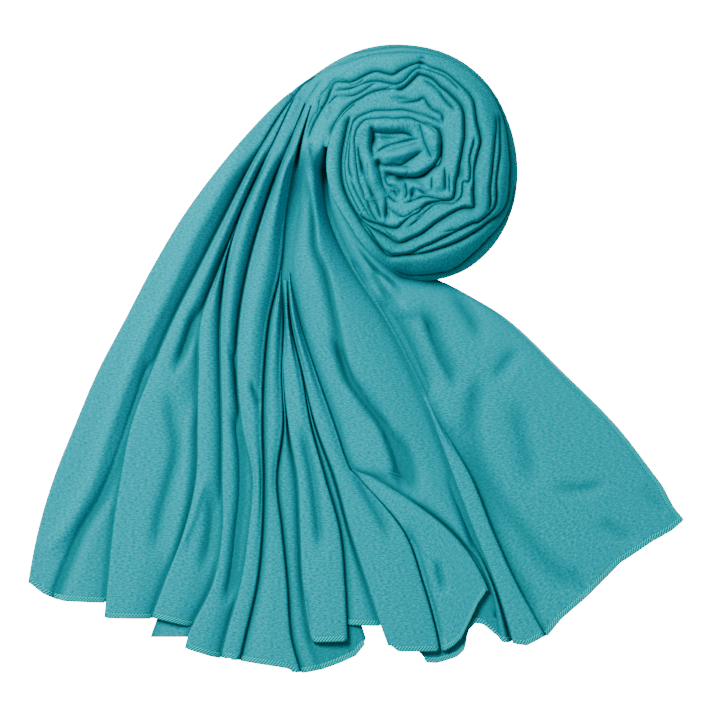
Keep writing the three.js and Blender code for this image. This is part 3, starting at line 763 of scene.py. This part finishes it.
def coil_height(radius, angle, x, y):
    """Height of the coil with its creases, and the shade painted in them."""
    turns, shade_turns = crease_depth(x, y, COIL_CREASES.values(), polar_point)
    heart, shade_heart = crease_depth(x, y, HEART_CREASES, photo_point)
    joining, shade_joining = crease_depth(x, y, JOINING_CREASES, photo_point)
    cut = np.cbrt(turns**3 + heart**3 + joining**3)
    relief = cut + hollow_depth(x, y) + trough_depth(x, y, HEART_RIDGES)
    shade = np.maximum(np.maximum(shade_turns, shade_heart), shade_joining)
    return np.maximum(LEAST_HEIGHT, dome(radius, angle) - relief), shade


def coil_xy(radius, angle):
    """The place at a radius and an angle round the coil."""
    turn = np.radians(angle)
    return COIL["x"] - radius * np.cos(turn), COIL["y"] + radius * np.sin(turn)


def coil_surface(outer_line, inner_line, span, outside=False):
    """Where each point of a band of the coil lies, from its outer line in."""
    def place(u, v):
        angle = mix(span[0], span[1], v)
        outer = outer_line(angle) - COIL_GAP / 2
        inner = inner_line(angle) + COIL_GAP / 2
        share = np.clip((u - SKIRT_SHARE) / (1 - 2 * SKIRT_SHARE), 0, 1)
        radius = mix(outer, inner, share)
        x, y = coil_xy(radius, angle)
        z, shade = coil_height(radius, angle, x, y)
        fall_out = 1 - np.clip(u / SKIRT_SHARE, 0, 1)
        fall_in = 1 - np.clip((1 - u) / SKIRT_SHARE, 0, 1)
        if outside:
            rounded = np.where(angle < LAST_TURN, COIL["foot"] * fall_out**2, 0)
            x, y = coil_xy(radius - rounded, angle)
            z = mix(z, RIM_FOOT, fall_out)
        else:
            z = mix(z, COIL_FLOOR, fall_out)
        z = mix(z, COIL_FLOOR, fall_in)
        return x, y, z, shade

    return place


def line_of(column):
    """A turn line as a function of the angle."""
    def line(angle):
        return turn_line(column, angle)

    return line


def wrapped(column):
    """A turn line that goes all round."""
    def line(angle):
        angle = np.asarray(angle, float)
        return turn_line(column, np.where(angle < FIRST_TURN, angle + 360, angle))

    return line


def inner_turn_outside(angle):
    """The inner turn's outer line: the third band's inside, and the rim's where that ends."""
    angle = np.asarray(angle, float)
    round_again = np.where(angle < THIRD_SPAN[0], angle + 360, angle)
    third = (angle >= THIRD_SPAN[0]) & (angle <= THIRD_SPAN[1])
    return np.where(third, turn_line("third_in", angle), turn_line("rim_in", round_again))


# Creases of the heart and of the turns round it, in photo pixels
HEART_CREASES = [
    crease(14, 1.6, 1.2, (367, 124), (371, 130), (375, 135), (388, 136), (402, 136), (409, 138),
        (416, 143)),
    crease(14, 1.2, 2, (369, 126), (373, 136), (371, 150), (373, 158), (375, 163)),
    crease(10, 1.2, 1.8, (373, 160), (377, 155), (383, 151), (392, 147), (405, 144), (413, 142),
        (421, 143)),
    crease(5, 1.2, 1.2, (381, 157), (396, 152), (410, 148), (421, 145)),
    crease(11, 1.2, 1.6, (376, 161), (380, 166), (386, 168), (400, 168), (408, 162), (416, 157),
        (424, 152)),
    crease(8, 1.2, 1.6, (417, 122), (421, 134), (424, 145), (429, 157), (433, 165)),
    crease(9, 1.2, 1.6, (382, 172), (386, 168), (392, 167), (400, 168), (408, 170), (413, 168)),
    crease(18, 1.4, 2.2, (382, 173), (389, 176), (401, 179), (412, 180), (420, 178), (428, 173),
        (434, 167), (439, 158), (440, 148), (439, 140)),
    crease(9, 1.2, 1.6, (376, 163), (379, 173), (382, 186), (386, 195), (392, 202), (401, 207)),
    crease(9, 1.2, 1.6, (383, 177), (387, 186), (393, 192), (399, 203)),
    crease(10, 1.6, 1.2, (386, 185), (392, 187), (398, 191), (403, 191)),
    crease(12, 1.6, 1.6, (404, 180), (405, 186), (406, 192), (406, 198), (401, 203)),
    crease(8, 1.2, 1.2, (392, 194), (397, 198), (403, 199)),
    crease(9, 1.4, 1.4, (410, 191), (411, 197), (408, 203)),
    crease(8, 1.2, 1.2, (413, 190), (419, 193), (425, 197), (431, 198)),
    crease(7, 1.2, 1.2, (411, 186), (418, 183), (426, 182)),
    crease(6, 1, 1, (415, 187), (421, 187), (427, 190)),
    crease(9, 1.2, 1.2, (431, 174), (431, 185), (431, 197)),
    crease(10, 1.2, 1.2, (443, 166), (444, 180), (444, 197)),
    crease(7, 1, 1, (448, 172), (448, 188), (449, 200)),
    crease(8, 1, 1, (419, 115), (429, 121), (441, 127)),
    crease(8, 1, 1, (420, 124), (433, 130), (440, 137)),
    crease(8, 1, 1, (423, 130), (430, 132), (438, 139)),
    crease(11, 1.2, 1.6, (358, 145), (359, 158), (363, 172), (368, 187), (374, 200), (379, 214),
        (382, 225)),
    crease(7, 1.2, 1.4, (350, 180), (357, 196), (366, 212), (376, 228), (390, 242)),
    crease(9, 1.2, 1.4, (384, 192), (386, 205), (386, 214), (385, 224)),
    crease(9, 1.4, 1.4, (385, 207), (393, 214), (403, 219), (412, 214), (424, 208), (440, 205),
        (452, 204), (462, 197)),
    crease(9, 1.4, 1.4, (401, 207), (412, 203), (424, 199), (436, 201), (450, 203)),
    crease(9, 1.4, 1.4, (380, 226), (389, 236), (398, 244), (398, 252)),
    crease(8, 1.2, 1.2, (436, 202), (426, 213), (418, 221), (404, 231)),
]

# Soft ridges of the heart
HEART_RIDGES = [
    trough(-2.9, 5, 4, (364, 142), (366, 132), (374, 129), (390, 129), (406, 129), (416, 134)),
    trough(-4.2, 5, 4, (375, 161), (385, 159), (398, 158), (410, 154), (422, 149)),
    trough(-3.8, 4, 4, (382, 172), (392, 172), (404, 174), (416, 173), (425, 167), (431, 158)),
    trough(-3.3, 5, 5, (421, 130), (430, 138), (434, 148), (434, 160)),
    trough(-2.2, 3, 3, (387, 189), (394, 191), (400, 195)),
    trough(-2.4, 2.5, 2.5, (408, 202), (408, 192), (413, 188), (421, 191), (429, 195)),
    trough(-2.5, 5, 5, (437, 172), (437, 196)),
    trough(-2.9, 5, 5, (363, 150), (368, 168), (373, 184), (377, 200)),
    trough(-2.5, 4, 4, (390, 223), (402, 226), (416, 216), (432, 211)),
]

# Creases where the fan runs into the coil
JOINING_CREASES = [
    crease(8, 1.6, 1.6, (250, 165), (268, 136), (283, 112), (298, 92), (305, 84), (324, 73),
        (350, 62), (364, 55)),
    crease(4, 1.4, 1.4, (250, 188), (263, 163), (277, 137), (289, 107), (299, 94), (306, 88)),
    crease(10, 1.8, 1.8, (279, 172), (288, 146), (300, 124), (306, 105), (318, 87), (325, 77)),
    crease(9, 1.8, 1.8, (304, 145), (312, 122), (318, 114), (320, 105), (322, 97), (328, 91),
        (333, 82), (336, 79)),
    crease(9, 1.6, 1.6, (307, 145), (314, 127), (321, 115), (327, 105), (330, 94), (335, 82),
        (344, 84), (352, 88), (360, 86), (369, 78)),
    crease(8, 1.6, 1.6, (311, 139), (316, 126), (324, 113), (330, 106), (337, 100), (344, 100),
        (355, 99), (366, 93), (373, 88), (382, 86)),
]

# Round hollows of the coil, in photo pixels: middle, half width and height, depth in millimetres
HEART_HOLLOWS = [
    (405, 168, 42, 42, 4.5),
    (388, 142, 13, 5, 6.2),
    (374, 145, 3.5, 11, 6.7),
    (378, 166, 3, 4, 7.3),
    (388, 180, 5, 5, 4),
    (400, 181, 5, 3, 6),
    (412, 197, 3, 5, 4),
    (387, 216, 3.5, 8, 5),
    (362, 170, 3, 12, 3.4),
    (421, 68, 3, 4, 4.5),
    (400, 103, 8, 3, 2.8),
    (460, 178, 3, 7, 4.5),
    (333, 112, 4, 10, 3.4),
    (325, 160, 3, 12, 6.7),
]


def hollow_depth(x, y):
    """How deep the round hollows are at each place."""
    total = np.zeros(x.shape)
    for px, py, wide, high, deep in HEART_HOLLOWS:
        cx, cy = photo_point(px, py)
        total += deep * bump(x - cx, wide * PIXEL) * bump(y - cy, high * PIXEL)
    return total


def heart_surface(u, v):
    """Where each point of the heart lies, from its outline to its middle."""
    angle = mix(0, 360, v)
    reach = wrapped("heart")(angle) - COIL_GAP / 2
    share = np.clip((1 - u) / (1 - SKIRT_SHARE), 0, 1)
    radius = reach * share
    x, y = coil_xy(radius, angle)
    z, shade = coil_height(radius, angle, x, y)
    fall = 1 - np.clip(u / SKIRT_SHARE, 0, 1)
    return x, y, mix(z, COIL_FLOOR, fall), shade


# Colours of the cloth and of its overlocked edge, linear
TEAL = (0.0, 0.66, 0.79, 1)
TEAL_DARK = (0.0, 0.3, 0.36, 1)
# Painted highlight and painted shade on the overlock's stitches
TEAL_RIB_HIGHLIGHT = (0.0, 0.95, 1.0, 1)
TEAL_RIB_SHADE = (0.0, 0.2, 0.24, 1)
# Painted shade: the colour that folds and hollows are darkened towards
TEAL_SHADE = (0.0, 0.16, 0.165, 1)

# The jersey: roughness and shine, slub lines a metre, the slub's contrast and its relief
ROUGHNESS = 0.82
SHINE = 0.02
SLUB_LINES = (380, 1000, 1)
SLUB_DETAIL = 3
SLUB_ROUGHNESS = 0.6
SLUB_SPAN = (0.32, 0.68)
RELIEF = 0.25
RELIEF_DEPTH = 0.0004

# Painted shade in narrow folds: how far it looks, its strength and its samples
FOLD_SHADE_REACH = 0.006
FOLD_SHADE_POWER = 0.85
FOLD_SHADE_SAMPLES = 8

# Part of a stitch's wave over which the overlock thread's painted shade turns to painted highlight
RIB_LIGHT_SPAN = (-0.7, 0.5)


def math_node(tree, operation, **values):
    """A math node; first, second and third set its inputs."""
    node = tree.nodes.new("ShaderNodeMath")
    node.operation = operation
    for place, name in enumerate(("first", "second", "third")):
        if name in values:
            node.inputs[place].default_value = values[name]
    return node


def mixed_colour(tree, dark, light=None):
    """A mix of two colours; without a light one that input is left to a link."""
    node = tree.nodes.new("ShaderNodeMix")
    node.data_type = "RGBA"
    node.inputs[6].default_value = dark
    if light:
        node.inputs[7].default_value = light
    return node


def stitch_rib_light(tree, where):
    """Painted highlight and shade on the overlock thread's slanted ribs, from UVs in metres."""
    pitch = OVERLOCK["pitch"] * MM
    parts = tree.nodes.new("ShaderNodeSeparateXYZ")
    slant = math_node(tree, "MULTIPLY_ADD", second=OVERLOCK["slant"])
    turns = math_node(tree, "MULTIPLY", second=2 * math.pi / pitch)
    wave = math_node(tree, "SINE")
    share = tree.nodes.new("ShaderNodeMapRange")
    share.inputs["From Min"].default_value = RIB_LIGHT_SPAN[0]
    share.inputs["From Max"].default_value = RIB_LIGHT_SPAN[1]
    link = tree.links.new
    link(where.outputs["UV"], parts.inputs[0])
    link(parts.outputs["X"], slant.inputs[0])
    link(parts.outputs["Y"], slant.inputs[2])
    link(slant.outputs[0], turns.inputs[0])
    link(turns.outputs[0], wave.inputs[0])
    link(wave.outputs[0], share.inputs["Value"])
    return share.outputs["Result"]


def jersey_material(name, light, dark, ribbed=False):
    """Slubbed jersey or ribbed thread, with painted shade in hollows and narrow folds."""
    material = bpy.data.materials.new(name)
    material.use_nodes = True
    tree = material.node_tree
    shader = tree.nodes["Principled BSDF"]
    shader.inputs["Roughness"].default_value = ROUGHNESS
    shader.inputs["Specular IOR Level"].default_value = SHINE
    where = tree.nodes.new("ShaderNodeTexCoord")
    lines = tree.nodes.new("ShaderNodeMapping")
    lines.inputs["Scale"].default_value = SLUB_LINES
    slub = tree.nodes.new("ShaderNodeTexNoise")
    slub.inputs["Scale"].default_value = 1
    slub.inputs["Detail"].default_value = SLUB_DETAIL
    slub.inputs["Roughness"].default_value = SLUB_ROUGHNESS
    spread = tree.nodes.new("ShaderNodeMapRange")
    spread.inputs["From Min"].default_value = SLUB_SPAN[0]
    spread.inputs["From Max"].default_value = SLUB_SPAN[1]
    tint = mixed_colour(tree, dark, light)
    # Painted shade: ambient occlusion in narrow folds and the painted shade attribute darken the
    # colour
    shade = tree.nodes.new("ShaderNodeAmbientOcclusion")
    shade.samples = FOLD_SHADE_SAMPLES
    shade.inputs["Distance"].default_value = FOLD_SHADE_REACH
    depth = math_node(tree, "POWER", second=FOLD_SHADE_POWER)
    deep = mixed_colour(tree, TEAL_SHADE)
    relief = tree.nodes.new("ShaderNodeBump")
    relief.inputs["Strength"].default_value = RELIEF
    relief.inputs["Distance"].default_value = RELIEF_DEPTH
    painted_shade = tree.nodes.new("ShaderNodeAttribute")
    painted_shade.attribute_name = "painted_shade"
    lit = math_node(tree, "SUBTRACT", first=1)
    both = math_node(tree, "MULTIPLY")
    link = tree.links.new
    link(where.outputs["UV"], lines.inputs["Vector"])
    link(lines.outputs["Vector"], slub.inputs["Vector"])
    link(slub.outputs["Fac"], spread.inputs["Value"])
    if ribbed:
        link(stitch_rib_light(tree, where), tint.inputs["Factor"])
    else:
        link(spread.outputs["Result"], tint.inputs["Factor"])
    link(shade.outputs["AO"], depth.inputs[0])
    link(painted_shade.outputs["Fac"], lit.inputs[1])
    link(lit.outputs[0], both.inputs[0])
    link(depth.outputs[0], both.inputs[1])
    link(both.outputs[0], deep.inputs["Factor"])
    link(tint.outputs[2], deep.inputs[7])
    link(deep.outputs[2], shader.inputs["Base Color"])
    link(slub.outputs["Fac"], relief.inputs["Height"])
    link(relief.outputs["Normal"], shader.inputs["Normal"])
    return material


jersey = jersey_material("jersey", TEAL, TEAL_DARK)
overlock_thread = jersey_material("overlock_thread", TEAL_RIB_HIGHLIGHT, TEAL_RIB_SHADE, ribbed=True)

# Fineness of the grids: across and along, or the step along in degrees or millimetres
FAN_GRID = (56, 130)
BAND_ACROSS = 60
BAND_STEP = 0.9
INNER_TURN_GRID = (60, 400)
HEART_GRID = (70, 200)
OVERLOCK_ACROSS = 12
OVERLOCK_STEP = 0.4

# Points read along the hem and along the side, and how far in the cloth's direction is read
HEM_POINTS = 160
SIDE_POINTS = 260
SIDE_END = 0.93
HEM_INSIDE = 0.02


def overlock(name, edge_points, inside_points):
    """Thread wound over a cut edge, from points on the edge and points just inside it."""
    edge_points = np.array(edge_points)
    step = np.linalg.norm(np.diff(edge_points, axis=0), axis=1)
    run = np.concatenate([[0], np.cumsum(step)])
    length = run[-1]
    inward = np.array(inside_points) - edge_points
    inward /= np.linalg.norm(inward, axis=1)[:, None]
    half = OVERLOCK["width"] / 2

    def place(u, v):
        at = v * length
        spot = np.stack([np.interp(at, run, edge_points[:, k]) for k in range(3)], axis=1)
        into = np.stack([np.interp(at, run, inward[:, k]) for k in range(3)], axis=1)
        ahead = np.stack([np.interp(at + 1, run, edge_points[:, k])
                          - np.interp(at - 1, run, edge_points[:, k]) for k in range(3)], axis=1)
        ahead /= np.linalg.norm(ahead, axis=1)[:, None]
        square = np.cross(ahead, into)
        square *= np.sign(square[:, 2])[:, None]
        turn = (0.5 - u) * 2 * np.pi * OVERLOCK_TURN
        reach = half * (1 - np.cos(turn)) - OVERLOCK["thick"] * OVERLOCK_LAP
        wave = np.sin(2 * np.pi * (at + reach * OVERLOCK["slant"]) / OVERLOCK["pitch"])
        rise = OVERLOCK["thick"] + OVERLOCK["rise"] * wave
        lift = rise * np.sign(np.sin(turn)) * np.abs(np.sin(turn))**OVERLOCK_SQUARE
        spot = spot + into * reach[:, None] + square * lift[:, None]
        return spot[:, 0], spot[:, 1], np.maximum(spot[:, 2], OVERLOCK_LOWEST)

    piece = grid(name, OVERLOCK_ACROSS, int(length / OVERLOCK_STEP), place)
    face_out(piece)
    piece.data.materials.append(overlock_thread)
    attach(piece, "root")
    return piece


def hem_overlock(stretch):
    """Overlock along a stretch's piece of the hem."""
    place = fan_surface(stretch)
    first = stretch.get("hem_from", ROUND_SHARE)
    last = stretch.get("hem_to", 1 - ROUND_SHARE)
    u = np.linspace(first, last, HEM_POINTS)
    edge_line = np.stack(place(u, np.zeros(u.shape))[:3], axis=1)
    inside = np.stack(place(u, np.full(u.shape, HEM_INSIDE))[:3], axis=1)
    return overlock("overlock_" + stretch["name"].split("_")[1], edge_line, inside)


def side_overlock(stretch):
    """Overlock along the cut right side of a stretch."""
    place = fan_surface(stretch)
    v = np.linspace(0, SIDE_END, SIDE_POINTS)
    edge_line = np.stack(place(np.ones(v.shape), v)[:3], axis=1)
    inside = np.stack(place(np.full(v.shape, 1 - ROUND_SHARE), v)[:3], axis=1)
    return overlock("overlock_" + stretch["name"].split("_")[1] + "_side", edge_line, inside)


def finish_cloth(piece, node):
    """Thicken and colour a sheet, hang it from the root body, and hide the model's part it stands
    for.
    """
    outward(piece)
    thicken(piece)
    piece.data.materials.append(jersey)
    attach(piece, "root")
    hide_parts(node)


# The fan
for stretch in STRETCHES:
    piece = grid("cloth_" + stretch["name"], *FAN_GRID, fan_surface(stretch))
    if stretch["name"] != "stretch_c_under":
        hem_overlock(stretch)
        if stretch["sides"][1] is CUT:
            side_overlock(stretch)
    finish_cloth(piece, stretch["name"])

# The coil
for turn in COIL_STRETCHES:
    outer = line_of(turn["outer"])
    inner = line_of(turn["inner"])
    surface = coil_surface(outer, inner, turn["span"], turn["outside"])
    steps = int((turn["span"][1] - turn["span"][0]) / BAND_STEP)
    piece = grid("cloth_" + turn["name"], BAND_ACROSS, steps, surface)
    finish_cloth(piece, turn["name"])

piece = grid("cloth_coil_inner_turn", *INNER_TURN_GRID,
             coil_surface(inner_turn_outside, wrapped("heart"), (0, 360)))
finish_cloth(piece, "coil_inner_turn")
piece = grid("cloth_coil_heart", *HEART_GRID, heart_surface)
finish_cloth(piece, "coil_heart")

# The table the scarf lies on, in metres, bare white where it is seen straight on
TABLE_SIZE = 6
TABLE_TOP = -0.0003
TABLE_GLOW = 18
bpy.ops.mesh.primitive_plane_add(size=TABLE_SIZE, location=(0, 0, TABLE_TOP))
table = bpy.context.object
table.name = "table_top"
white = bpy.data.materials.new("white_table")
white.use_nodes = True
nodes = white.node_tree.nodes
link = white.node_tree.links.new
paper = nodes["Principled BSDF"]
paper.inputs["Base Color"].default_value = (0.9, 0.9, 0.9, 1)
paper.inputs["Roughness"].default_value = 0.9
paper.inputs["Specular IOR Level"].default_value = 0.1
glow = nodes.new("ShaderNodeEmission")
glow.inputs["Strength"].default_value = TABLE_GLOW
seen = nodes.new("ShaderNodeLightPath")
choose = nodes.new("ShaderNodeMixShader")
link(seen.outputs["Is Camera Ray"], choose.inputs[0])
link(paper.outputs[0], choose.inputs[1])
link(glow.outputs[0], choose.inputs[2])
link(choose.outputs[0], nodes["Material Output"].inputs[0])
table.data.materials.append(white)

# Camera straight over the middle of the photo
LENS = 200
SENSOR = 36
CAMERA_HEIGHT = PHOTO_SIZE * PIXEL * MM * LENS / SENSOR
camera_data = bpy.data.cameras.new("camera")
camera_data.lens = LENS
camera_data.sensor_width = SENSOR
camera = bpy.data.objects.new("camera", camera_data)
camera.location = (0, (ORIGIN_PIXEL[1] - PHOTO_SIZE / 2) * PIXEL * MM, CAMERA_HEIGHT)
bpy.context.collection.objects.link(camera)
bpy.context.scene.camera = camera

# Light: a dim white room and one large soft lamp at the upper left
ROOM_LIGHT = 0.2
LAMP = {"size": 0.8, "watts": 41, "at": (-0.85, 0.85, 1.6)}
world = bpy.data.worlds.new("room")
world.use_nodes = True
world.node_tree.nodes["Background"].inputs["Color"].default_value = (1, 1, 1, 1)
world.node_tree.nodes["Background"].inputs["Strength"].default_value = ROOM_LIGHT
bpy.context.scene.world = world
lamp_data = bpy.data.lights.new("overhead", "AREA")
lamp_data.shape = "DISK"
lamp_data.size = LAMP["size"]
lamp_data.energy = LAMP["watts"]
lamp = bpy.data.objects.new("overhead", lamp_data)
lamp.location = LAMP["at"]
aim = Vector((0, 0, 0)) - lamp.location
lamp.rotation_euler = aim.to_track_quat("-Z", "Y").to_euler()
bpy.context.collection.objects.link(lamp)

bpy.context.view_layer.update()
